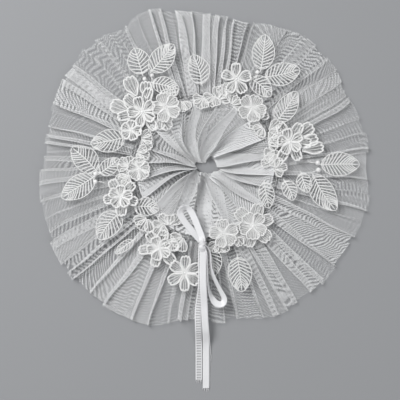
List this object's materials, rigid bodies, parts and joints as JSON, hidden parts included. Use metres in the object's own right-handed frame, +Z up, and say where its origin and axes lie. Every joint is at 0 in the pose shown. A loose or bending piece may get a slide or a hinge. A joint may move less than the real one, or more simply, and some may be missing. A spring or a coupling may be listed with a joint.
{
  "type": "tulle collar",
  "caption": "Round ruffled collar of white net with a frilled neck edge, embroidered lace leaves and flowers, and a ribbon tie, laid flat.",
  "frame": {"origin": "on the surface that the collar lies on, under the middle of the ruffle's box, which is the middle of the neck band", "axes": "+Z up from the surface, -Y towards the ribbon tie, +X to the right seen from above with the tie at the bottom"},
  "size_m": [0.2964, 0.3395, 0.0157],
  "materials": {
    "net": "fine white hexagonal net, sheer",
    "lace": "white embroidery thread, softly shiny",
    "ribbon": "white satin"
  },
  "bodies": {
    "root": {"ruffle_lower": "net", "ruffle_upper": "net", "inner_frill": "net", "neck_band": "net", "leaf_01": "lace", "leaf_02": "lace", "leaf_03": "lace", "leaf_04": "lace", "leaf_05": "lace", "leaf_06": "lace", "leaf_07": "lace", "leaf_08": "lace", "leaf_09": "lace", "leaf_10": "lace", "leaf_11": "lace", "leaf_12": "lace", "leaf_13": "lace", "leaf_14": "lace", "leaf_15": "lace", "leaf_16": "lace", "leaf_17": "lace", "leaf_18": "lace", "leaf_19": "lace", "leaf_20": "lace", "leaf_21": "lace", "leaf_22": "lace", "flower_01": "lace", "flower_02": "lace", "flower_03": "lace", "flower_04": "lace", "flower_05": "lace", "flower_06": "lace", "flower_07": "lace", "flower_08": "lace", "flower_09": "lace", "flower_10": "lace", "flower_11": "lace", "flower_12": "lace", "bow_knot": "ribbon", "bow_loop_upper": "ribbon", "bow_loop_lower": "ribbon", "tail_left": "ribbon", "tail_right": "ribbon"}
  },
  "joints": []
}
